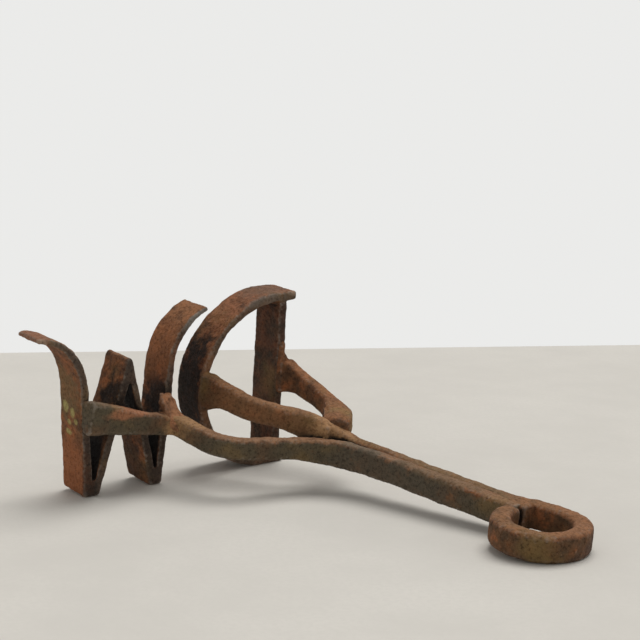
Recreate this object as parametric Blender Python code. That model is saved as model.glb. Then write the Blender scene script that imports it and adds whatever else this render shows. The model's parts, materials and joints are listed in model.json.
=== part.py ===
"""A small forged iron: a zigzag strip and a bow with an upright bar, set on edge side by side,
carried by a forked shank of two bars that ends in a rolled eye.

The iron is drawn in its own frame and then leaned so that it lies on the floor: x runs from
the front edges of the strips to the eye, y from the zigzag to the bow, z up from the strips' feet.
"""

import math

import bmesh
import bpy
from mathutils import Matrix, Vector

JOINT_GAP = 0.0003

# Flat bar of the figures, set on edge
STRIP_WIDTH = 0.032
STRIP_EDGE_BEVEL = 0.0009

# Zigzag: four legs, three folds, two curled ends
FIRST_FOOT_Y = 0.0048
FIRST_FOOT_SPREAD = 0.0053
FOOT_SPACING = 0.0563
SECOND_FOOT_SPREAD = 0.0038
PEAK_FROM_FIRST_FOOT = 0.0300
PEAK_HEIGHT = 0.1030
PEAK_CROSSING_BELOW_TOP = 0.0038
LEFT_LEG_THICKNESS = 0.0080
RISING_LEG_THICKNESS = 0.0070
FALLING_LEG_TOP_THICKNESS = 0.0046
FALLING_LEG_FOOT_THICKNESS = 0.0079
RIGHT_LEG_THICKNESS = 0.0062
FOLD_ROUNDING = 0.0016
FOLD_CORNER_CUT = 0.3
LEFT_LEG_TILT = math.radians(4.3)
RIGHT_LEG_TILT = math.radians(4.9)
LEFT_LEG_HEIGHT = 0.083
RIGHT_LEG_HEIGHT = 0.094
CURL_START_THICKNESS = 0.0068
CURL_TIP_THICKNESS = 0.0034
LEFT_CURL_RADIUS = 0.0530
LEFT_CURL_TIP_RADIUS = 0.0250
LEFT_CURL_TURN = math.radians(90)
RIGHT_CURL_RADIUS = 0.0480
RIGHT_CURL_TIP_RADIUS = 0.0480
RIGHT_CURL_TURN = math.radians(65)
CURL_STEPS = 9
STRAIGHT = 1e-5  # a bend smaller than this angle needs no mitre

# Bow and its upright bar
BOW_RADIUS = 0.0699
BOW_CENTRE_Z = 0.0680
BOW_TOE_TURN = math.radians(60)
BOW_THICKNESS = 0.0070
BOW_SHOULDER_THINNING = 0.0012
BOW_SHOULDER_DROP = 0.0012
BOW_FROM_SECOND_FOOT = 0.0405
BOW_STEPS = 20
BOW_TOE_STEPS = 12
UPRIGHT_THICKNESS = 0.0072
UPRIGHT_FROM_BOW_LEFT = 0.0742
TOP_OVERHANG = 0.0090
FOOT_OVERHANG = 0.0045

# Shank: two bars side by side, tapering a little towards the eye
FORK_LENGTH = 0.104
SHANK_FROM_BOW_LEFT = 0.0614
SHANK_HEADING = math.radians(4.4)
SHANK_LENGTH = 0.194
SHANK_Z = 0.0412
SHANK_BAR_WIDTH = 0.0095
SHANK_BAR_HEIGHT = 0.0194
SHANK_TAPER = 0.10

# Eye rolled from the end of the back bar
EYE_RADIUS = 0.0272
EYE_BAR_WIDTH = 0.0124
EYE_BAR_HEIGHT = 0.0175
EYE_OFFSET = 0.0131
EYE_STEPS = 24
EYE_LEAD = 0.035
EYE_LEAD_STEPS = 8
EYE_THROAT = 0.006

# Tines of the fork
TINE_WIDTH = 0.011
TINE_HEIGHT = 0.016
CROSS_BAR_WIDTH = 0.0115
CROSS_BAR_SETBACK = 0.0005
CROSS_BAR_HEIGHT = 0.0152

SECTION_CHAMFER = 0.0018
SMOOTH_SHADED_BELOW = math.radians(35)
STEPS_PER_SPAN = 5
ROOT_STEPS = 10

SECOND_FOOT_Y = FIRST_FOOT_Y + FOOT_SPACING
BOW_LEFT_Y = SECOND_FOOT_Y + BOW_FROM_SECOND_FOOT
UPRIGHT_Y = BOW_LEFT_Y + UPRIGHT_FROM_BOW_LEFT
SHANK_START = Vector((STRIP_WIDTH + FORK_LENGTH, BOW_LEFT_Y + SHANK_FROM_BOW_LEFT))
ROOT_X = STRIP_WIDTH + JOINT_GAP


def clear_scene():
    for item in list(bpy.data.objects):
        bpy.data.objects.remove(item, do_unlink=True)


def make_material(name, colour, roughness, metallic):
    material = bpy.data.materials.new(name)
    material.use_nodes = True
    shader = material.node_tree.nodes["Principled BSDF"]
    shader.inputs["Base Color"].default_value = (*colour, 1.0)
    shader.inputs["Roughness"].default_value = roughness
    shader.inputs["Metallic"].default_value = metallic
    return material


def finish_object(name, bm, material, frame):
    """Turns a bmesh into a named object with its material, parented to the iron's frame."""
    bmesh.ops.recalc_face_normals(bm, faces=bm.faces)
    mesh = bpy.data.meshes.new(name)
    bm.to_mesh(mesh)
    bm.free()
    mesh.shade_smooth()
    mesh.set_sharp_from_angle(angle=SMOOTH_SHADED_BELOW)
    mesh.materials.append(material)
    item = bpy.data.objects.new(name, mesh)
    bpy.context.scene.collection.objects.link(item)
    item.parent = frame
    return item


def turn(vector, angle):
    return Matrix.Rotation(angle, 2) @ vector


def arc_points(centre, radius, start, end, count):
    """Points on an arc in the (y, z) plane, angles from +y towards +z."""
    return [
        centre + radius * Vector((math.cos(a), math.sin(a)))
        for a in (start + (end - start) * i / count for i in range(count + 1))
    ]


def meet(point_a, way_a, point_b, way_b):
    """Where two lines in the (y, z) plane cross."""
    across = way_a.x * way_b.y - way_a.y * way_b.x
    gap = point_b - point_a
    return point_a + way_a * ((gap.x * way_b.y - gap.y * way_b.x) / across)


def offset_line(leg, side):
    """One side of a leg that may taper: its first point and its direction."""
    start, end, thick_start, thick_end = leg
    way = (end - start).normalized()
    left = Vector((-way.y, way.x)) * side
    first = start + left * thick_start / 2
    return first, (end + left * thick_end / 2 - first).normalized()


def rounded(corner, way_in, way_out):
    """A corner of an outline eased by the fold's rounding."""
    middle = corner + (way_out - way_in) * FOLD_ROUNDING * FOLD_CORNER_CUT
    return [corner - way_in * FOLD_ROUNDING, middle, corner + way_out * FOLD_ROUNDING]


def fold_points(leg_in, leg_out, side, outside, flat_z):
    """One side of a fold: the legs' faces meet inside it, and it is hammered flat outside."""
    point_in, way_in = offset_line(leg_in, side)
    point_out, way_out = offset_line(leg_out, side)
    if side != outside:
        return [meet(point_in, way_in, point_out, way_out)]
    flat_way = Vector((1, 0))
    flat = Vector((0, flat_z))
    first = meet(point_in, way_in, flat, flat_way)
    second = meet(flat, flat_way, point_out, way_out)
    return rounded(first, way_in, flat_way) + rounded(second, flat_way, way_out)


def side_of_strip(centres, thicknesses, side):
    """One side of a bent strip, mitred at each bend."""
    points = []
    for i, (centre, thick) in enumerate(zip(centres, thicknesses)):
        before = (centre - centres[max(i, 1) - 1]).normalized()
        after = (centres[min(i, len(centres) - 2) + 1] - centre).normalized()
        before = before if i else after
        after = after if i + 1 < len(centres) else before
        start, end = (Vector((-way.y, way.x)) * side * thick / 2 for way in (before, after))
        if abs(before.angle_signed(after)) < STRAIGHT:
            points.append(centre + start)
        else:
            points.append(meet(centre + start, before, centre + end, after))
    return points


def strip_outline(centres, thicknesses):
    return side_of_strip(centres, thicknesses, 1) + side_of_strip(centres, thicknesses, -1)[::-1]


def build_strip(name, outline, material, frame):
    """A strip on edge: its outline in the (y, z) plane pushed along x, with its rims eased."""
    bm = bmesh.new()
    face = bm.faces.new([bm.verts.new((0.0, p.x, p.y)) for p in outline])
    grown = bmesh.ops.extrude_face_region(bm, geom=[face])
    moved = [v for v in grown["geom"] if isinstance(v, bmesh.types.BMVert)]
    bmesh.ops.translate(bm, verts=moved, vec=(STRIP_WIDTH, 0.0, 0.0))
    bmesh.ops.recalc_face_normals(bm, faces=bm.faces)
    rims = [e for e in bm.edges if abs(e.verts[0].co.x - e.verts[1].co.x) < STRIP_WIDTH / 2]
    bmesh.ops.bevel(
        bm, geom=rims, offset=STRIP_EDGE_BEVEL, segments=2, profile=0.5, affect="EDGES", material=-1
    )
    return finish_object(name, bm, material, frame)


def smooth_path(knots):
    """A smooth curve through the knots: rows of x, y, z, width and height."""
    rows = []
    for i in range(len(knots) - 1):
        a, b, c, d = (Vector(knots[max(0, min(len(knots) - 1, i + k))]) for k in (-1, 0, 1, 2))
        for k in range(STEPS_PER_SPAN + (i == len(knots) - 2)):
            t = k / STEPS_PER_SPAN
            square = 2 * a - 5 * b + 4 * c - d
            cube = 3 * b - a - 3 * c + d
            rows.append(0.5 * (2 * b + (c - a) * t + square * t ** 2 + cube * t ** 3))
    return rows


def sweep_section(rows, grow=0.0, start_way=None, end_way=None):
    """A bmesh of a chamfered rectangle carried along the rows, closed at both ends."""
    bm = bmesh.new()
    spots = [Vector(row[:3]) for row in rows]
    loops = []
    for i, (spot, row) in enumerate(zip(spots, rows)):
        way = spots[min(i + 1, len(spots) - 1)] - spots[max(i - 1, 0)]
        if start_way is not None and i < ROOT_STEPS:
            way = start_way.lerp(way.normalized(), i / ROOT_STEPS)
        if i == len(rows) - 1 and end_way is not None:
            way = end_way
        side = Vector((0, 0, 1)).cross(way).normalized()
        up = way.normalized().cross(side)
        w, h = row[3] / 2 + grow, row[4] / 2 + grow
        flat_w, flat_h = w - SECTION_CHAMFER, h - SECTION_CHAMFER
        half = [(w, -flat_h), (w, flat_h), (flat_w, h), (-flat_w, h)]
        corners = half + [(-a, -b) for a, b in half]
        verts = [bm.verts.new(spot + side * a + up * b) for a, b in corners]
        loops.append([bm.edges.new((verts[k], verts[(k + 1) % 8])) for k in range(8)])
        if i in (0, len(rows) - 1):
            bm.faces.new(verts)
    for first, second in zip(loops, loops[1:]):
        bmesh.ops.bridge_loops(bm, edges=first + second)
    return bm


def shank_point(along, across):
    """A plan point measured from the shank's start along its heading and to its left."""
    way = Vector((math.cos(SHANK_HEADING), math.sin(SHANK_HEADING)))
    return SHANK_START + way * along + Vector((-way.y, way.x)) * across


def shank_row(along, side, apart=0.0):
    """A knot of the front (side -1) or the back bar (side 1) where they run together, or apart by so much."""
    share = 1 - SHANK_TAPER * along / SHANK_LENGTH
    width = SHANK_BAR_WIDTH * share
    spot = shank_point(along, side * ((width + JOINT_GAP) / 2 + apart))
    return (spot.x, spot.y, SHANK_Z, width, SHANK_BAR_HEIGHT * share)


def curl_of_leg(foot, height, tilt, swing, side, radii):
    """The top of an outer leg (side 1 curls to the left): points along the curl with tapering thicknesses."""
    spot = foot + Vector((-side * height * math.tan(tilt), height))
    way = turn(Vector((0, 1)), side * tilt)
    spots, thin = [spot], [CURL_START_THICKNESS]
    step = swing / CURL_STEPS
    for k in range(CURL_STEPS):
        share = (k + 0.5) / CURL_STEPS
        radius = radii[0] + (radii[1] - radii[0]) * share
        spot = spot + turn(way, side * step / 2) * 2 * radius * math.sin(step / 2)
        way = turn(way, side * step)
        spots.append(spot)
        thin.append(CURL_START_THICKNESS + (CURL_TIP_THICKNESS - CURL_START_THICKNESS) * (k + 1) / CURL_STEPS)
    return spots, thin


def zigzag_outline():
    """Round the zigzag: along its left side from the left curl's tip to the right one's, and back."""
    peak = Vector((FIRST_FOOT_Y + PEAK_FROM_FIRST_FOOT, PEAK_HEIGHT - PEAK_CROSSING_BELOW_TOP))
    feet = [
        Vector((middle + way * spread / 2, 0))
        for middle, spread in ((FIRST_FOOT_Y, FIRST_FOOT_SPREAD), (SECOND_FOOT_Y, SECOND_FOOT_SPREAD))
        for way in (-1, 1)
    ]
    left_radii = (LEFT_CURL_RADIUS, LEFT_CURL_TIP_RADIUS)
    right_radii = (RIGHT_CURL_RADIUS, RIGHT_CURL_TIP_RADIUS)
    left, left_thin = curl_of_leg(
        feet[0], LEFT_LEG_HEIGHT, LEFT_LEG_TILT, LEFT_CURL_TURN, 1, left_radii
    )
    right, right_thin = curl_of_leg(
        feet[3], RIGHT_LEG_HEIGHT, RIGHT_LEG_TILT, RIGHT_CURL_TURN, -1, right_radii
    )
    legs = [
        (left[0], feet[0], CURL_START_THICKNESS, LEFT_LEG_THICKNESS),
        (feet[1], peak, RISING_LEG_THICKNESS, RISING_LEG_THICKNESS),
        (peak, feet[2], FALLING_LEG_TOP_THICKNESS, FALLING_LEG_FOOT_THICKNESS),
        (feet[3], right[0], RIGHT_LEG_THICKNESS, CURL_START_THICKNESS),
    ]
    sides = []
    for side in (1, -1):
        points = side_of_strip(left[::-1], left_thin[::-1], side)
        for leg_in, leg_out, outside, flat_z in zip(legs, legs[1:], (-1, 1, -1), (0, PEAK_HEIGHT, 0)):
            points += fold_points(leg_in, leg_out, side, outside, flat_z)
        sides.append(points + side_of_strip(right, right_thin, side))
    return sides[0] + sides[1][::-1]


def bow_outline():
    """Round the bow: a straight top end, a wide arc, a tighter toe on the floor, a straight foot."""
    middle = Vector((BOW_LEFT_Y + BOW_RADIUS, BOW_CENTRE_Z))
    toe_start = math.pi * 3 / 2 - BOW_TOE_TURN
    arc = arc_points(middle, BOW_RADIUS, math.pi / 2, toe_start, BOW_STEPS)
    shoulder = [max(0, math.sin(2 * (a - middle).angle_signed(Vector((0, 1))))) ** 2 for a in arc]
    arc = [a - (a - middle).normalized() * BOW_SHOULDER_DROP * share for a, share in zip(arc, shoulder)]
    toe_radius = (arc[-1].y - BOW_THICKNESS / 2) / (1 - math.cos(BOW_TOE_TURN))
    toe_middle = arc[-1] + (middle - arc[-1]).normalized() * toe_radius
    toe = arc_points(toe_middle, toe_radius, toe_start, math.pi * 3 / 2, BOW_TOE_STEPS)
    right = UPRIGHT_Y + UPRIGHT_THICKNESS / 2
    top_end = Vector((right + TOP_OVERHANG, arc[0].y))
    foot_end = Vector((right + FOOT_OVERHANG, toe[-1].y))
    centres = [top_end] + arc + toe[1:] + [foot_end]
    thinned = [BOW_THICKNESS - BOW_SHOULDER_THINNING * share for share in shoulder]
    thicknesses = [BOW_THICKNESS] + thinned + [BOW_THICKNESS] * (len(toe) - 1) + [BOW_THICKNESS]
    return strip_outline(centres, thicknesses)


def front_bar_rows():
    """From the left leg across the backs of the legs, in an S down to the shank, and along it to the eye."""
    w, h = CROSS_BAR_WIDTH, CROSS_BAR_HEIGHT
    x = ROOT_X + w / 2 + CROSS_BAR_SETBACK
    y = SECOND_FOOT_Y
    start = SHANK_START
    end = SHANK_LENGTH - EYE_RADIUS + EYE_BAR_WIDTH / 2 - EYE_THROAT
    knots = [
        (x, FIRST_FOOT_Y - 0.0098, 0.0642, w, h + 0.0090),  # flared onto the left leg's back edge
        (x, FIRST_FOOT_Y + 0.0117, 0.0599, w, h + 0.0052),
        (x, y - 0.0169, 0.0534, w, h + 0.0010),
        (x, y - 0.0014, 0.0509, w, h),  # past the last leg
        (x + 0.0070, y + 0.0091, 0.0498, w, h),
        (x + 0.0300, y + 0.0116, 0.0475, TINE_WIDTH, h),  # runs back, square to the legs
        (x + 0.0520, y + 0.0176, 0.0450, TINE_WIDTH, h),
        (x + 0.0650, y + 0.0336, 0.0440, TINE_WIDTH, h),  # swings over towards the shank
        (start.x - 0.0230, start.y - 0.0390, 0.0430, TINE_WIDTH, h),
        (start.x - 0.0130, start.y - 0.0230, 0.0420, TINE_WIDTH, h + 0.0020),
        (start.x + 0.0020, start.y - 0.0105, SHANK_Z, SHANK_BAR_WIDTH, SHANK_BAR_HEIGHT),
    ]
    knots += [shank_row(along, -1, apart) for along, apart in ((0.012, 0.0027), (0.022, 0.0008))]
    knots += [shank_row(along, -1) for along in (0.032, 0.042, (0.042 + end) / 2, end - 0.02, end)]
    return smooth_path(knots)


def back_bar_rows():
    """From the bow's back edge down to the shank, along it, and round the eye to the lapped tip."""
    w, h = TINE_WIDTH, TINE_HEIGHT
    y = BOW_LEFT_Y + 0.0035
    start = SHANK_START
    knots = [
        (ROOT_X, y, 0.0690, w + 0.003, h + 0.014),  # flared onto the bow's back edge
        (ROOT_X + 0.0055, y + 0.0035, 0.0685, w + 0.001, h + 0.008),
        (ROOT_X + 0.0160, y + 0.0085, 0.0670, w, h + 0.002),
        (ROOT_X + 0.0310, y + 0.0165, 0.0618, w, h + 0.001),
        (ROOT_X + 0.0550, y + 0.0300, 0.0590, w, h),
        (start.x - 0.0360, start.y - 0.0205, 0.0572, w, h + 0.002),  # heavier under the rear tine's lap
        (start.x - 0.0240, start.y - 0.0125, 0.0545, w, h + 0.002),
        (start.x - 0.0120, start.y - 0.0030, 0.0480, w, h + 0.002),  # drops to the shank
    ]
    run = SHANK_LENGTH - EYE_RADIUS - EYE_LEAD
    knots += [shank_row(along, 1) for along in (0.002, 0.030, run * 0.6, run)]
    return smooth_path(knots) + eye_rows(run)


def eye_rows(run):
    """The end of the back bar: it swings out, goes round the eye and laps the front bar's outer face."""
    share = 1 - SHANK_TAPER * run / SHANK_LENGTH
    width = SHANK_BAR_WIDTH * share
    near = (width + JOINT_GAP) / 2
    far = EYE_RADIUS - EYE_OFFSET
    rows = []

    def add(along, across, width):
        spot = shank_point(along, across)
        rows.append(Vector((spot.x, spot.y, SHANK_Z, width, EYE_BAR_HEIGHT)))

    for k in range(1, EYE_LEAD_STEPS + 1):
        t = k / EYE_LEAD_STEPS
        ease = t * t * (3 - 2 * t)
        across = near + (far - near) * ease
        add(run + (SHANK_LENGTH - run) * t, across, width + (EYE_BAR_WIDTH - width) * ease)
    for k in range(1, EYE_STEPS + 1):
        angle = math.pi / 2 - math.pi * 1.5 * k / EYE_STEPS
        add(
            SHANK_LENGTH + EYE_RADIUS * math.cos(angle),
            -EYE_OFFSET + EYE_RADIUS * math.sin(angle),
            EYE_BAR_WIDTH,
        )
    tip_share = 1 - SHANK_TAPER * (SHANK_LENGTH - EYE_RADIUS) / SHANK_LENGTH
    add(SHANK_LENGTH - EYE_RADIUS, -SHANK_BAR_WIDTH * tip_share - 2 * JOINT_GAP, EYE_BAR_WIDTH)
    return rows


def short_tine_rows():
    """A stub from the last leg's back edge down onto the front bar."""
    w, h = TINE_WIDTH, TINE_HEIGHT
    y = SECOND_FOOT_Y + 0.0062
    return smooth_path([
        (ROOT_X, y, 0.0660, w + 0.0040, h + 0.007),
        (ROOT_X + 0.006, y + 0.0005, 0.0615, w + 0.0035, h + 0.003),
        (ROOT_X + 0.014, y + 0.0022, 0.0558, w + 0.0020, h),
        (ROOT_X + 0.026, y + 0.0046, 0.0498, w - 0.0010, h - 0.004),
    ])


def rear_tine_rows():
    """From the upright's back edge straight back, then over to lap on the back bar with a broad end."""
    w, h = TINE_WIDTH, TINE_HEIGHT
    y = UPRIGHT_Y + 0.0110
    start = SHANK_START
    return smooth_path([
        (ROOT_X, y - 0.0052, 0.0730, w + 0.0020, h + 0.012),  # flared onto the upright's back edge
        (ROOT_X + 0.0050, y - 0.0032, 0.0714, w + 0.0012, h + 0.007),
        (ROOT_X + 0.0120, y - 0.0004, 0.0693, w, h + 0.003),
        (ROOT_X + 0.0235, y, 0.0665, w, h + 0.001),
        (ROOT_X + 0.0365, y, 0.0635, w, h),
        (ROOT_X + 0.0520, y - 0.0010, 0.0600, w + 0.001, h),
        (start.x - 0.0390, start.y + 0.0180, 0.0580, w + 0.005, h),
        (start.x - 0.0280, start.y + 0.0125, 0.0572, w + 0.008, h),
        (start.x - 0.0180, start.y + 0.0045, 0.0568, w + 0.008, h),
        (start.x - 0.0110, start.y - 0.0015, 0.0556, w + 0.003, h - 0.002),
    ])


def cut_clear(item, rows, frame, name, **ways):
    """Cuts from an item the room that a neighbouring bar takes, with the joint gap all round."""
    bm = sweep_section(rows, grow=JOINT_GAP, **ways)
    cutter = finish_object(name, bm, item.data.materials[0], frame)
    cutter.hide_render = True
    cutter.display_type = "WIRE"
    cut = item.modifiers.new(name, "BOOLEAN")
    cut.operation = "DIFFERENCE"
    cut.object = cutter


def stand_on_floor(frame, items):
    """Leans the frame onto the feet and the eye, and centres the whole over the origin."""
    eye_bottom = SHANK_Z - EYE_BAR_HEIGHT / 2
    eye_far = SHANK_START.x + SHANK_LENGTH + EYE_RADIUS + EYE_BAR_WIDTH / 2
    frame.rotation_euler.y = math.atan2(eye_bottom, eye_far - STRIP_WIDTH)
    bpy.context.view_layer.update()
    corners = [item.matrix_world @ v.co for item in items for v in item.data.vertices]
    low = Vector([min(c[i] for c in corners) for i in range(3)])
    high = Vector([max(c[i] for c in corners) for i in range(3)])
    frame.location = (-(low.x + high.x) / 2, -(low.y + high.y) / 2, -low.z)


def build_iron():
    frame = bpy.data.objects.new("iron_frame", None)
    bpy.context.scene.collection.objects.link(frame)
    along_strip = Vector((1, 0, 0))

    rust = make_material("rust_brown", (0.17, 0.075, 0.04), 0.85, 0.15)
    dark = make_material("rust_dark", (0.08, 0.045, 0.03), 0.85, 0.15)
    orange = make_material("rust_orange", (0.24, 0.11, 0.055), 0.9, 0.1)
    grey = make_material("rust_grey", (0.10, 0.085, 0.06), 0.8, 0.2)

    items = [
        build_strip("zigzag_strip", zigzag_outline(), rust, frame),
        build_strip("bow_strip", bow_outline(), dark, frame),
    ]
    under_top = BOW_CENTRE_Z + BOW_RADIUS - BOW_THICKNESS / 2 - JOINT_GAP
    ends = [Vector((UPRIGHT_Y, z)) for z in (BOW_THICKNESS + JOINT_GAP, under_top)]
    items.append(build_strip("upright_bar", strip_outline(ends, [UPRIGHT_THICKNESS] * 2), dark, frame))

    rows = front_bar_rows()
    items.append(finish_object("front_bar", sweep_section(rows), grey, frame))
    stub = sweep_section(short_tine_rows(), start_way=along_strip)
    short = finish_object("short_tine", stub, orange, frame)
    cut_clear(short, rows, frame, "room_for_front_bar")
    items.append(short)

    rows = back_bar_rows()
    across = Matrix.Rotation(SHANK_HEADING, 3, "Z") @ Vector((0, 1, 0))
    ways = {"start_way": along_strip, "end_way": across}
    items.append(finish_object("back_bar_and_eye", sweep_section(rows, **ways), orange, frame))
    tine = sweep_section(rear_tine_rows(), start_way=along_strip)
    rear = finish_object("rear_tine", tine, rust, frame)
    cut_clear(rear, rows, frame, "room_for_back_bar", **ways)
    items.append(rear)

    stand_on_floor(frame, items)


clear_scene()
build_iron()
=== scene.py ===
import json
import math

import bmesh
import bpy
from mathutils import Matrix, Vector
from mathutils.bvhtree import BVHTree


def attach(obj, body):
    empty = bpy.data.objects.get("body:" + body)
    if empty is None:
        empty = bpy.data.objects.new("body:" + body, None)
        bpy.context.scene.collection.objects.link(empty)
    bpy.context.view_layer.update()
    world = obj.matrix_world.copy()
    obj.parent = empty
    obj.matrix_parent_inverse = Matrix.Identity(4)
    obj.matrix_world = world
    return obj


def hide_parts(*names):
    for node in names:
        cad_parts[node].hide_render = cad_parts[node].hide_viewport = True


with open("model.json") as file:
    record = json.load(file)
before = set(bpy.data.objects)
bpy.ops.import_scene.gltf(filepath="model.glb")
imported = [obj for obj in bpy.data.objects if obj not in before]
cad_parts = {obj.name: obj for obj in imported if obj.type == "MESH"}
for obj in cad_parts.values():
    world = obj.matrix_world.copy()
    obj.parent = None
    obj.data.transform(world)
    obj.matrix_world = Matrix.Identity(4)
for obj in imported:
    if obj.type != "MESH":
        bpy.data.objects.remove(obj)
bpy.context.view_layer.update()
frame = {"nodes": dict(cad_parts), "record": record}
print("frame loaded:", ", ".join(sorted(frame["nodes"])))

perMetre = 1000  # millimetres
mergeWithin = 0.00001  # metres

upright = frame["record"]["mounts"][0]  # on the front edge of the upright bar
mountAt = (0.0, 175.8, 70.0)  # where that mount is, in mm from the iron's own corner
back = -Vector(upright["axis"])  # from the front edges towards the eye
across = Vector((0, 1, 0))  # from the zigzag to the bow
up = back.cross(across).normalized()  # up the leaning legs
ways = (back, across, up)


def spot(x, y, z):
    # mm back from the front edges, across, and up the legs
    place = Vector(upright["pos_m"])
    for way, value, start in zip(ways, (x, y, z), mountAt):
        place += way * (value - start) / perMetre
    return place


def mergedCopy(cadNode):
    bm = bmesh.new()
    bm.from_mesh(frame["nodes"][cadNode].data)
    bmesh.ops.remove_doubles(bm, verts=bm.verts, dist=mergeWithin)
    return bm


def joinOn(bm, part):
    mesh = bpy.data.meshes.new("joined")
    part.to_mesh(mesh)
    part.free()
    bm.from_mesh(mesh)
    bpy.data.meshes.remove(mesh)


def cutAway(bm, point, away):
    # all that lies past the point goes, and the cut is closed
    bmesh.ops.bisect_plane(bm, geom=bm.verts[:] + bm.edges[:] + bm.faces[:],
                           plane_co=point, plane_no=away, clear_outer=True)
    bmesh.ops.holes_fill(bm, edges=[e for e in bm.edges if e.is_boundary], sides=0)


def addStretch(bm, cadNode, low, high, inset):
    # a stretch of a neighbour, a little thinner than it, for a weld to grow out of
    part = mergedCopy(cadNode)
    for corner, sign in ((low, -1), (high, 1)):
        for way in ways:
            cutAway(part, spot(*corner), way * sign)
    part.normal_update()
    moves = [v.normal * inset for v in part.verts]
    for v, move in zip(part.verts, moves):
        v.co -= move
    joinOn(bm, part)


def addLump(bm, centre, size, turn=0.0):
    # iron that filled a weld, a plain block until the skin softens it; turn is in degrees
    leaning = Matrix([tuple(way) for way in ways]).transposed().to_4x4()
    turned = Matrix.Rotation(math.radians(turn), 4, "Z")
    scaled = Matrix.LocRotScale(None, None, Vector(size) / perMetre)
    bmesh.ops.create_cube(bm, size=1.0, matrix=Matrix.Translation(spot(*centre)) @ leaning @ turned @ scaled)


def objectFrom(bm, name):
    mesh = bpy.data.meshes.new(name)
    bm.to_mesh(mesh)
    bm.free()
    made = bpy.data.objects.new(name, mesh)
    bpy.context.scene.collection.objects.link(made)
    return made


blows = {  # what the hammer and the rust left: how large, and how many finer marks on each
    "hammer": {"size": 0.018, "finer": 1},
    "dents": {"size": 0.0065, "finer": 2},
    "pits": {"size": 0.0024, "finer": 2},
}


def noiseTexture(name, size, finer):
    texture = bpy.data.textures.new(name, "CLOUDS")
    texture.noise_scale = size
    texture.noise_depth = finer
    return texture


blowTextures = {name: noiseTexture(name, **blow) for name, blow in blows.items()}


def applied(piece):
    graph = bpy.context.evaluated_depsgraph_get()
    mesh = bpy.data.meshes.new_from_object(piece.evaluated_get(graph))
    piece.modifiers.clear()
    old = piece.data
    piece.data = mesh
    bpy.data.meshes.remove(old)


def forged(name, look):
    # one closed skin over the bar and its welds, softened, filled out again and then hammered
    bm = mergedCopy(look["node"])
    for point, way in look.get("shaved", ()):
        cutAway(bm, spot(*point), sum((w * share for w, share in zip(ways, way)), Vector()))
    for lump in look.get("lumps", ()):
        addLump(bm, *lump)
    for stretch in look.get("stretches", ()):
        addStretch(bm, *stretch, look["weldInset"])
    bmesh.ops.recalc_face_normals(bm, faces=bm.faces)
    piece = objectFrom(bm, name)

    skin = piece.modifiers.new("skin", "REMESH")
    skin.mode = "VOXEL"
    skin.voxel_size = look["voxel"] * 1
    applied(piece)

    welds = piece.vertex_groups.new(name="welds")
    for *centre, reach in look.get("welds", ()):
        middle = spot(*centre)
        for v in piece.data.vertices:
            share = 1 - (v.co - middle).length * perMetre / reach
            if share > 0:
                welds.add([v.index], min(1.0, share * look["weldHeart"]), "REPLACE")
    flowed = piece.modifiers.new("flowed", "SMOOTH")
    flowed.vertex_group = "welds"
    flowed.factor = look["softness"]
    flowed.iterations = look["flow"]
    soft = piece.modifiers.new("soft", "SMOOTH")
    soft.factor = look["softness"]
    soft.iterations = look["rounding"]
    fuller = piece.modifiers.new("fuller", "DISPLACE")
    fuller.mid_level = 0.0  # outwards only
    fuller.strength = look["fuller"]
    for blow, texture in blowTextures.items():
        struck = piece.modifiers.new(blow, "DISPLACE")
        struck.texture = texture
        struck.texture_coords = "LOCAL"
        struck.mid_level = 0.5  # as far in as out
        struck.strength = look[blow]
    applied(piece)
    piece.data.shade_smooth()
    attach(piece, "root")
    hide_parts(look["node"])
    return piece


# lengths in metres; rounding and flow count the smoothing passes over a piece and over its welds
iron = {
    "voxel": 0.0008, "quickCoarser": 1.5, "softness": 0.5, "weldInset": 0.0008,
    "weldHeart": 2,  # the inner half of a weld's reach flows fully
}
bars = {**iron, "rounding": 8, "flow": 40, "fuller": 0.00030, "hammer": 0.0015, "dents": 0.0007,
        "pits": 0.0005}
strips = {**iron, "rounding": 5, "flow": 20, "fuller": 0.00016, "hammer": 0.0013, "dents": 0.0008,
          "pits": 0.0004}

# mm on the iron: stretches from a low to a high corner, lumps by middle, size and turn,
# welds by middle and reach, and shaved by a point and the way that is cut off

zigzagLook = {**strips, "node": "zigzag_strip", "slot": "rust_brown"}
zigzag = forged("zigzagStrip", zigzagLook)

bowLook = {
    **strips, "node": "bow_strip", "slot": "rust_dark",
    "stretches": [("upright_bar", (-5, 160, 122), (40, 190, 150)),
                  ("upright_bar", (-5, 160, -5), (40, 190, 20))],
    "lumps": [((16, 175.8, 135), (26, 9, 7)),
              ((16, 175.8, 6.5), (26, 9, 5))],
}
bow = forged("bowStrip", bowLook)

barLook = {**strips, "node": "upright_bar", "slot": "rust_dark"}
bar = forged("uprightBar", barLook)

frontLook = {
    **bars, "node": "front_bar", "slot": "rust_grey",
    "stretches": [("zigzag_strip", (16, -15, 38), (40, 80, 90)),
                  ("back_bar_and_eye", (136, 150, 10), (296, 200, 90))],
    "lumps": [((32.2, -2.6, 64.6), (7, 5.5, 19)), ((32.2, 23.3, 57.5), (7, 6.0, 11)),
              ((32.2, 45.9, 54.0), (7, 5.5, 10)), ((32.2, 66.8, 51.5), (7, 5.5, 10)),
              ((200, 168.0, 41.0), (60, 5, 17.6), 4.4), ((260, 172.6, 41.0), (66, 6, 17.8), 4.4)],
    "welds": [(33, -3, 64, 15), (32, 24, 57, 13), (32, 46, 54, 13), (34, 70, 52, 15), (268, 173, 50, 22)],
}
front = forged("frontBar", frontLook)

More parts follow.
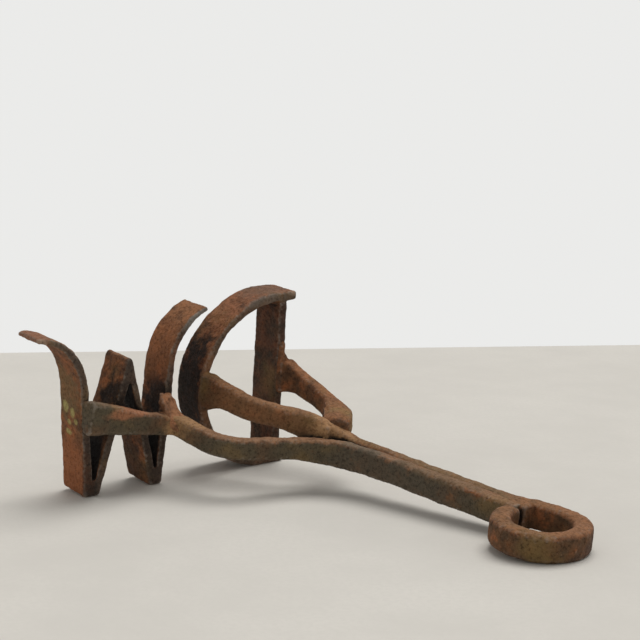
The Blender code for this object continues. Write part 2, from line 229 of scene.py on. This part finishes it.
stubLook = {
    **bars, "node": "short_tine", "slot": "rust_orange", "flow": 70,
    "stretches": [("zigzag_strip", (16, 61, 42), (40, 80, 92)),
                  ("front_bar", (32, 50, 20), (76, 90, 80))],
    "shaved": [((32, 68, 71.5), (0.72, 0.30, 0.62))],
    "lumps": [((32.0, 67.4, 64.0), (7, 5.5, 14)), ((40, 72, 54), (14, 8, 8))],
    "welds": [(33, 69, 68, 20), (42, 71, 56, 18)],
}
stub = forged("shortTine", stubLook)

rearLook = {
    **bars, "node": "rear_tine", "slot": "rust_brown",
    "stretches": [("upright_bar", (12, 165, 46), (40, 190, 112)),
                  ("back_bar_and_eye", (86, 140, 20), (170, 200, 80))],
    "lumps": [((32.3, 176.5, 73.0), (8, 7, 24)), ((31.0, 176.6, 90.0), (5, 5.5, 20)),
              ((31.5, 177.6, 84.0), (6, 7.5, 12)),
              ((110, 169, 57.5), (26, 16, 12), -38), ((120, 162, 50), (20, 12, 10), 4.4)],
    "welds": [(33, 178, 76, 24), (31, 177, 92, 16), (122, 162, 52, 24)],
}
rear = forged("rearTine", rearLook)

eyeLook = {
    **bars, "node": "back_bar_and_eye", "slot": "rust_orange", "rounding": 14, "fuller": 0.00070,
    "stretches": [("bow_strip", (13, 90, 38), (40, 120, 102)),
                  ("front_bar", (246, 120, 0), (330, 220, 90))],
    "lumps": [((32.3, 103.6, 69.0), (7, 7, 26)), ((294, 176.0, 41.0), (26, 8, 17), 4.4),
              ((112, 152, 52), (26, 15, 13), 20)],
    "welds": [(33, 104, 70, 26), (300, 176, 44, 22), (350, 165, 52, 18), (352, 180, 52, 14),
              (112, 152, 54, 18)],
}
eye = forged("backBarAndEye", eyeLook)

pieces = [zigzag, bow, bar, front, stub, rear, eye]
print("shapes forged:", sum(len(p.data.polygons) for p in pieces), "faces")

shelterLook = {"reach": 0.045, "rays": 32, "lift": 0.0012, "grazing": 0.15}


def rayFan(count):
    turn = math.pi * (3 - math.sqrt(5))  # the golden angle spreads them evenly over a ball
    fan = []
    for k in range(count):
        height = 1 - 2 * (k + 0.5) / count
        ring = math.sqrt(1 - height * height)
        fan.append(Vector((ring * math.cos(turn * k), ring * math.sin(turn * k), height)))
    return fan


def markShelter(look):
    # how much iron stands close over each spot; the near-black laid there is partly dark rust and partly
    # painted shade
    whole = bmesh.new()
    for part in frame["nodes"].values():
        whole.from_mesh(part.data)
    tree = BVHTree.FromBMesh(whole)
    whole.free()
    fan = rayFan(look["rays"])
    for piece in pieces:
        mesh = piece.data
        shelter = mesh.attributes.new("shelter", "FLOAT", "POINT")
        values = []
        for v in mesh.vertices:
            start = v.co + v.normal * look["lift"]
            hits = total = 0.0
            for way in fan:
                lean = way.dot(v.normal)
                if lean < look["grazing"]:
                    continue
                total += lean
                hit, facing, _, distance = tree.ray_cast(start, way, look["reach"])
                if hit is not None and facing.dot(way) < 0:  # the back of a face is no shelter
                    hits += lean * (1 - distance / look["reach"])
            values.append(hits / total)
        shelter.data.foreach_set("value", values)


markShelter(shelterLook)
print("shelter marked")


def node(tree, kind, inputs=None, **settings):
    made = tree.nodes.new(kind)
    for key, value in settings.items():
        setattr(made, key, value)
    for key, value in (inputs or {}).items():
        socket = made.inputs[key]
        if isinstance(value, bpy.types.NodeSocket):
            tree.links.new(value, socket)
        else:
            socket.default_value = value
    return made


noiseDrift = (1.0, 0.7, -1.0)  # the way that a shift moves a pattern, so that no two pieces match


def noiseAt(tree, place, noise, shift=0.0):
    away = shift + noise.get("apart", 0)
    moved = node(tree, "ShaderNodeMapping", {"Vector": place, "Location": [away * d for d in noiseDrift]})
    return node(tree, "ShaderNodeTexNoise",
                {"Vector": moved.outputs[0], "Scale": 1 / noise["size"], "Detail": noise["finer"],
                 "Roughness": noise["rough"]}).outputs["Fac"]


def between(tree, value, low, high, start=0.0, end=1.0):
    return node(tree, "ShaderNodeMapRange",
                {"Value": value, "From Min": low, "From Max": high, "To Min": start, "To Max": end},
                clamp=True, interpolation_type="SMOOTHSTEP").outputs[0]


def times(tree, a, b):
    return node(tree, "ShaderNodeMath", {0: a, 1: b}, operation="MULTIPLY").outputs[0]


def plus(tree, a, b):
    return node(tree, "ShaderNodeMath", {0: a, 1: b}, operation="ADD").outputs[0]


def blended(tree, share, under, over, kind="MIX"):
    # a Mix node's colours are its inputs 6 and 7 and its output 2
    made = node(tree, "ShaderNodeMix", {0: share}, data_type="RGBA", blend_type=kind)
    for socket, value in ((made.inputs[6], under), (made.inputs[7], over)):
        if isinstance(value, bpy.types.NodeSocket):
            tree.links.new(value, socket)
        else:
            socket.default_value = (*value, 1.0)
    return made.outputs[2]


def facingWay(tree, normal, way):
    return node(tree, "ShaderNodeVectorMath", {0: normal, 1: tuple(way)},
                operation="DOT_PRODUCT").outputs["Value"]


rustNoise = {
    "patches": {"size": 0.034, "finer": 3, "rough": 0.5},
    "mottle": {"size": 0.010, "finer": 5, "rough": 0.65, "apart": 1},
    "grain": {"size": 0.0024, "finer": 5, "rough": 0.75, "apart": 2},
    "crumbs": {"size": 0.0011, "finer": 3, "rough": 0.6, "apart": 4},
}
fades = {  # where each change starts and ends, and then, if it isn't 0 to 1, from what to what
    "brown": (0.32, 0.58), "orange": (0.50, 0.72), "ochre": (0.52, 0.74), "pits": (0.44, 0.74),
    "raggedUp": (0.3, 0.7, -0.25, 0.25), "top": (0.38, 1.0), "edge": (0.45, 0.85),
    "side": (0.60, 0.05), "sidePatches": (0.25, 0.60, 0.35, 1.0),
    "spot": (1.45, 0.35), "raggedSpot": (0.25, 0.75, -0.5, 0.5), "spotCrumbs": (0.30, 0.55, 0.8, 1.0),
    "flecks": (0.62, 0.74), "fleckPatches": (0.35, 0.65, 0.15, 0.6), "fleckOpen": (0.45, 0.15),
    "ridge": (0.508, 0.545), "wornMottle": (0.35, 0.65, 0.2, 1.0), "wornOpen": (0.5, 0.2),
    "roughness": (0.3, 0.7, 0.66, 0.92),
}
rust = {
    "brown": (0.225, 0.086, 0.033), "darkBrown": (0.085, 0.038, 0.018), "orange": (0.35, 0.118, 0.040),
    # tops lighter and redder, sides darker and greyer: partly the rust's own colour, partly painted light
    # from above and painted shade on the sides
    "topRustAndLight": (0.30, 0.140, 0.062), "topRustAndLightShare": 0.6,
    "sideRustAndShade": (0.100, 0.076, 0.046), "sideRustAndShadeShare": 0.5,
    "edgeRust": (0.075, 0.058, 0.042), "edgeShare": 0.0,
    "pitDarker": (0.26, 0.23, 0.24), "pitShare": 0.9,
    # soot: near-black where iron stands close, partly dark rust and partly painted shade in the hollows
    "sootAndShade": (0.012, 0.008, 0.006), "sootAndShadeShare": 1.0, "sootAndShadeFrom": 0.24, "sootAndShadeTo": 0.56,
    "worn": (0.30, 0.255, 0.210), "wornShare": 0.6,
    "ochre": (0.24, 0.145, 0.050), "ochreShare": 0.4,
    "fleck": (0.34, 0.20, 0.12), "shift": 0.0, "spots": (),
    "shine": 0.2, "grainRelief": 0.6, "crumbRelief": 0.25, "bumpStrength": 0.9, "bumpDepth": 0.0015,
}


def nearSpot(tree, place, ragged, centre, size):
    # 1 at the spot, falling to 0 at its ragged edge; size is its half-lengths in mm
    offset = node(tree, "ShaderNodeVectorMath", {0: place, 1: tuple(spot(*centre))},
                  operation="SUBTRACT").outputs[0]
    total = None
    for way, half in zip(ways, size):
        along = facingWay(tree, offset, way * (perMetre / half))
        square = times(tree, along, along)
        total = square if total is None else plus(tree, total, square)
    loose = plus(tree, total, between(tree, ragged, *fades["raggedSpot"]))
    return between(tree, loose, *fades["spot"])


def rusted(piece, name, look):
    material = bpy.data.materials.new(name)
    material.use_nodes = True
    tree = material.node_tree
    shader = tree.nodes["Principled BSDF"]
    place = node(tree, "ShaderNodeTexCoord").outputs["Object"]
    surface = node(tree, "ShaderNodeNewGeometry")
    normal = surface.outputs["Normal"]
    shelter = node(tree, "ShaderNodeAttribute", attribute_name="shelter").outputs["Fac"]
    noises = [noiseAt(tree, place, noise, look["shift"]) for noise in rustNoise.values()]
    patches, mottle, grain, crumbs = noises

    colour = blended(tree, between(tree, mottle, *fades["brown"]), look["darkBrown"], look["brown"])
    colour = blended(tree, between(tree, mottle, *fades["orange"]), colour, look["orange"])

    # painted light on upward faces and painted shade on side faces, partly the rust's own colour
    upward = plus(tree, facingWay(tree, normal, (0, 0, 1)), between(tree, mottle, *fades["raggedUp"]))
    onSideRustAndShade = times(tree, between(tree, upward, *fades["side"]), look["sideRustAndShadeShare"])
    onSideRustAndShade = times(tree, onSideRustAndShade, between(tree, patches, *fades["sidePatches"]))
    colour = blended(tree, onSideRustAndShade, colour, look["sideRustAndShade"])
    onEdge = times(tree, between(tree, facingWay(tree, normal, back), *fades["edge"]), look["edgeShare"])
    colour = blended(tree, onEdge, colour, look["edgeRust"])
    onTopRustAndLight = times(tree, between(tree, upward, *fades["top"]), look["topRustAndLightShare"])
    colour = blended(tree, onTopRustAndLight, colour, look["topRustAndLight"])
    ochre = times(tree, between(tree, patches, *fades["ochre"]), look["ochreShare"])
    colour = blended(tree, ochre, colour, look["ochre"])

    for centre, size, share, tint in look["spots"]:
        near = times(tree, nearSpot(tree, place, mottle, centre, size), share)
        near = times(tree, near, between(tree, crumbs, *fades["spotCrumbs"]))
        colour = blended(tree, near, colour, tint)

    pits = times(tree, between(tree, grain, *fades["pits"]), look["pitShare"])
    colour = blended(tree, pits, colour, look["pitDarker"], "MULTIPLY")
    # painted shade in the hollows, partly real dark rust, from how much iron stands close
    sootAndShade = times(tree, between(tree, shelter, look["sootAndShadeFrom"], look["sootAndShadeTo"]), look["sootAndShadeShare"])
    colour = blended(tree, sootAndShade, colour, look["sootAndShade"])

    flecks = between(tree, crumbs, *fades["flecks"])
    flecks = times(tree, flecks, between(tree, patches, *fades["fleckPatches"]))
    flecks = times(tree, flecks, between(tree, shelter, *fades["fleckOpen"]))
    colour = blended(tree, flecks, colour, look["fleck"])

    ridge = between(tree, surface.outputs["Pointiness"], *fades["ridge"])
    bare = times(tree, ridge, between(tree, mottle, *fades["wornMottle"]))
    bare = times(tree, bare, look["wornShare"])
    bare = times(tree, bare, between(tree, shelter, *fades["wornOpen"]))
    colour = blended(tree, bare, colour, look["worn"])
    tree.links.new(colour, shader.inputs["Base Color"])

    shader.inputs["Specular IOR Level"].default_value = look["shine"]
    tree.links.new(between(tree, grain, *fades["roughness"]), shader.inputs["Roughness"])
    relief = plus(tree, mottle, times(tree, grain, look["grainRelief"]))
    relief = plus(tree, relief, times(tree, crumbs, look["crumbRelief"]))
    bump = node(tree, "ShaderNodeBump",
                {"Height": relief, "Strength": look["bumpStrength"], "Distance": look["bumpDepth"]})
    tree.links.new(bump.outputs[0], shader.inputs["Normal"])
    piece.data.materials.clear()
    piece.data.materials.append(material)


lichen = (0.40, 0.340, 0.120)
tan = (0.40, 0.185, 0.085)
paleChip = (0.36, 0.26, 0.18)
# near-black for painted shade; in the zigzag's V hollows partly dark rust as well
blackRustAndShade = (0.009, 0.006, 0.005)

# spots: middle and half-lengths in mm on the iron, how strongly each shows, and its colour

zigzagRust = {
    **rust, "edgeShare": 0.85, "edgeRust": (0.070, 0.056, 0.044), "sideRustAndShadeShare": 0.15,
    "sideRustAndShade": (0.130, 0.070, 0.034),
    "spots": [
        ((10, -4, 80), (18, 10, 26), 0.7, (0.165, 0.112, 0.050)),  # olive bloom on the first leg
        ((9, -7, 66), (4.0, 9, 4.5), 0.85, lichen),
        ((19, -6, 63), (3.4, 9, 4.0), 0.8, lichen),
        ((14, -5, 55), (3.0, 9, 2.6), 0.8, lichen),
        ((23, -5, 57), (2.2, 9, 2.2), 0.7, lichen),
        ((13, -5, 47), (4.4, 9, 3.0), 0.85, lichen),
        ((16, -40, 124), (24, 9, 9), 0.7, (0.25, 0.110, 0.060)),
        ((14, 0, 20), (22, 9, 26), 0.6, (0.37, 0.122, 0.042)),
        ((31, -41, 121), (4, 5, 4), 0.6, paleChip),
        # near-black in the zigzag's V hollows: partly dark rust, partly painted shade
        ((22, 30, 72), (17, 10, 17), 0.9, blackRustAndShade),
        ((22, 64, 68), (17, 10, 18), 0.9, blackRustAndShade),
        ((10, 52, 22), (18, 10, 26), 0.75, (0.050, 0.026, 0.015)),
        ((33, 2, 20), (4, 7, 40), 0.75, (0.030, 0.022, 0.017)),
        ((33, 30, 94), (4, 12, 18), 0.6, (0.060, 0.040, 0.030)),
        ((33, 60, 22), (4, 14, 40), 0.6, (0.036, 0.024, 0.018)),
        ((33, 92, 128), (3, 14, 10), 0.7, (0.22, 0.20, 0.175)),
        ((14, 74, 100), (20, 12, 28), 0.5, (0.30, 0.115, 0.045)),
    ],
}
rusted(zigzag, "zigzagRust", zigzagRust)

bowRust = {
    **rust, "shift": 3.0, "edgeShare": 0.7, "edgeRust": (0.100, 0.074, 0.050), "sideRustAndShadeShare": 0.3,
    # more of the painted shade, partly dark rust, in the bow's hollows
    "topRustAndLight": (0.29, 0.120, 0.058), "sootAndShadeFrom": 0.12, "sootAndShadeTo": 0.36,
    "spots": [
        # near-black on the bow's outer face beside the zigzag's last leg: painted shadow
        ((14, 103, 66), (28, 13, 54), 0.95, blackRustAndShade),
        ((31, 185, 141), (3, 5, 3), 0.5, paleChip),
        ((14, 168, 141), (22, 26, 8), 0.5, (0.125, 0.085, 0.058)),
        ((33, 140, 139), (4, 34, 8), 0.5, (0.17, 0.14, 0.115)),
        ((33, 104, 72), (5, 8, 44), 0.45, tan),
    ],
}
rusted(bow, "bowRust", bowRust)

# the upright bar's rust, darker all over: painted shade from the bow standing in front of it
uprightShadedRust = {
    **rust, "shift": 5.0, "brown": (0.120, 0.048, 0.024), "darkBrown": (0.040, 0.022, 0.013),
    "orange": (0.18, 0.062, 0.026), "edgeShare": 0.6, "edgeRust": (0.036, 0.024, 0.018), "sideRustAndShadeShare": 0.2,
}
rusted(bar, "uprightShadedRust", uprightShadedRust)

frontBarRust = {
    **rust, "shift": 7.0, "brown": (0.165, 0.082, 0.040), "orange": (0.25, 0.105, 0.042), "sideRustAndShadeShare": 0.95,
    "sideRustAndShade": (0.088, 0.072, 0.045), "topRustAndLight": (0.29, 0.155, 0.080), "topRustAndLightShare": 0.75,
    "spots": [
        ((40, 28, 65), (12, 22, 5), 0.8, (0.40, 0.165, 0.080)),
        ((38, -2, 70), (14, 14, 12), 0.8, (0.095, 0.078, 0.048)),
        ((46, 77, 51), (28, 20, 14), 0.9, (0.38, 0.215, 0.098)),
        ((150, 160, 54), (40, 14, 5), 0.6, (0.16, 0.13, 0.085)),
        ((176, 158, 38), (84, 14, 14), 0.6, (0.092, 0.076, 0.055)),
        ((236, 164, 52), (50, 12, 5), 0.5, (0.17, 0.115, 0.062)),
    ],
}
rusted(front, "frontBarRust", frontBarRust)

shortTineRust = {
    **rust, "shift": 9.0, "brown": (0.36, 0.165, 0.080), "orange": (0.44, 0.19, 0.088),
    "darkBrown": (0.17, 0.080, 0.040), "sideRustAndShadeShare": 0.1, "topRustAndLight": tan,
}
rusted(stub, "shortTineRust", shortTineRust)

rearTineRust = {**rust, "shift": 11.0, "ochreShare": 0.8, "sideRustAndShadeShare": 0.3}
rusted(rear, "rearTineRust", rearTineRust)

eyeRust = {
    **rust, "shift": 13.0, "ochreShare": 0.7, "ochre": (0.19, 0.120, 0.042), "sideRustAndShadeShare": 0.7,
    "sideRustAndShade": (0.078, 0.052, 0.027), "topRustAndLight": (0.26, 0.138, 0.062),
    "spots": [
        ((116, 158, 55), (28, 16, 14), 0.75, (0.42, 0.235, 0.110)),
        ((352, 178, 36), (16, 30, 10), 0.55, (0.085, 0.052, 0.042)),
        ((312, 148, 36), (24, 12, 10), 0.6, (0.29, 0.130, 0.060)),
        ((74, 124, 60), (44, 30, 22), 0.55, (0.31, 0.155, 0.070)),
        ((230, 175, 51), (60, 10, 5), 0.6, (0.19, 0.125, 0.060)),
        ((345, 175, 51), (24, 34, 3.5), 0.5, (0.30, 0.132, 0.060)),
    ],
}
rusted(eye, "eyeRust", eyeRust)
print("rust laid on")

floorLook = {
    "colour": (0.635, 0.603, 0.546), "blotch": 0.07, "roughness": 0.85,
    "clouds": {"size": 0.12, "finer": 6, "rough": 0.65}, "cloudFade": (0.3, 0.7),
    "specks": {"size": 0.004, "finer": 3, "rough": 0.6}, "speckFade": (0.35, 0.6, 0.5, 0.0),
    "lineLeft": (-0.773, 0.171), "lineRight": (-0.340, 0.794),  # two points on the floor's far edge
    "reach": 8.0, "farReach": 30,
}


def paint(piece, name, look):
    material = bpy.data.materials.new(name)
    material.use_nodes = True
    tree = material.node_tree
    shader = tree.nodes["Principled BSDF"]
    place = node(tree, "ShaderNodeTexCoord").outputs["Object"]
    clouds = noiseAt(tree, place, look["clouds"])
    specks = noiseAt(tree, place, look["specks"])
    darker = tuple(c * (1 - look["blotch"]) for c in look["colour"])
    shade = blended(tree, between(tree, clouds, *look["cloudFade"]), darker, look["colour"])
    shade = blended(tree, between(tree, specks, *look["speckFade"]), shade, darker)
    tree.links.new(shade, shader.inputs["Base Color"])
    shader.inputs["Roughness"].default_value = look["roughness"]
    piece.data.materials.append(material)


def sheetOf(name, corners):
    bm = bmesh.new()
    bm.faces.new([bm.verts.new(c) for c in corners])
    piece = objectFrom(bm, name)
    return piece


left, right = (Vector((*floorLook[k], 0.0)) for k in ("lineLeft", "lineRight"))
along = (right - left).normalized()
nearer = Vector((along.y, -along.x, 0.0))
ends = [left - along * floorLook["reach"], right + along * floorLook["reach"]]
floor = sheetOf("floor", [*ends, *[e + nearer * floorLook["reach"] for e in ends[::-1]]])
farFloor = sheetOf("farFloor", [*ends, *[e - nearer * floorLook["farReach"] for e in ends[::-1]]])
paint(floor, "floorPaint", floorLook)

backdropLook = {"away": 12.0, "sides": 96, "below": 1, "height": 7.0,
                "colour": (1.0, 1.0, 0.985), "glow": 0.83}


def ringWall(name, look):
    bm = bmesh.new()
    bmesh.ops.create_circle(bm, segments=look["sides"], radius=look["away"],
                            matrix=Matrix.Translation((0, 0, -look["below"])))
    raised = bmesh.ops.extrude_edge_only(bm, edges=bm.edges[:])["geom"]
    bmesh.ops.translate(bm, verts=[g for g in raised if isinstance(g, bmesh.types.BMVert)],
                        vec=(0, 0, look["height"]))
    wall = objectFrom(bm, name)
    wall.data.shade_smooth()
    return wall


def glowing(name, look):
    material = bpy.data.materials.new(name)
    material.use_nodes = True
    shader = material.node_tree.nodes["Principled BSDF"]
    shader.inputs["Base Color"].default_value = (0.0, 0.0, 0.0, 1.0)
    shader.inputs["Roughness"].default_value = 1.0
    shader.inputs["Specular IOR Level"].default_value = 0.0
    shader.inputs["Emission Color"].default_value = (*look["colour"], 1.0)
    shader.inputs["Emission Strength"].default_value = look["glow"]
    return material


backdrop = ringWall("backdrop", backdropLook)
backdropGlow = glowing("backdropGlow", backdropLook)
backdrop.data.materials.append(backdropGlow)
farFloor.data.materials.append(backdropGlow)  # one even white from the floor's far edge upwards

lamps = {"key": {"from": (-0.10, 0.34, 1.0), "spread": 42, "power": 2.0}, "sky": 0.34}  # degrees of spread
key = bpy.data.lights.new("key", "SUN")
key.angle = math.radians(lamps["key"]["spread"])
key.energy = lamps["key"]["power"]
keyHolder = bpy.data.objects.new("key", key)
keyHolder.rotation_euler = Vector(lamps["key"]["from"]).to_track_quat("Z", "Y").to_euler()
bpy.context.scene.collection.objects.link(keyHolder)
world = bpy.data.worlds.new("studio")
world.use_nodes = True
sky = world.node_tree.nodes["Background"]
sky.inputs["Color"].default_value = (1.0, 1.0, 1.0, 1.0)
sky.inputs["Strength"].default_value = lamps["sky"]
bpy.context.scene.world = world
bpy.context.scene.view_settings.view_transform = "Standard"
bpy.context.scene.view_settings.look = "None"

# tilt and turn in degrees, lens and sensor in mm
view = {"at": (0.79789, -0.62639, 0.29394), "tilt": 81.568, "turn": 50.899, "lens": 84.43, "sensor": 36.0}
camera = bpy.data.cameras.new("camera")
camera.sensor_width = view["sensor"]
camera.lens = view["lens"]
cameraHolder = bpy.data.objects.new("camera", camera)
cameraHolder.location = view["at"]
cameraHolder.rotation_euler = (math.radians(view["tilt"]), 0.0, math.radians(view["turn"]))
bpy.context.scene.collection.objects.link(cameraHolder)
bpy.context.scene.camera = cameraHolder
print("room, light and camera set")
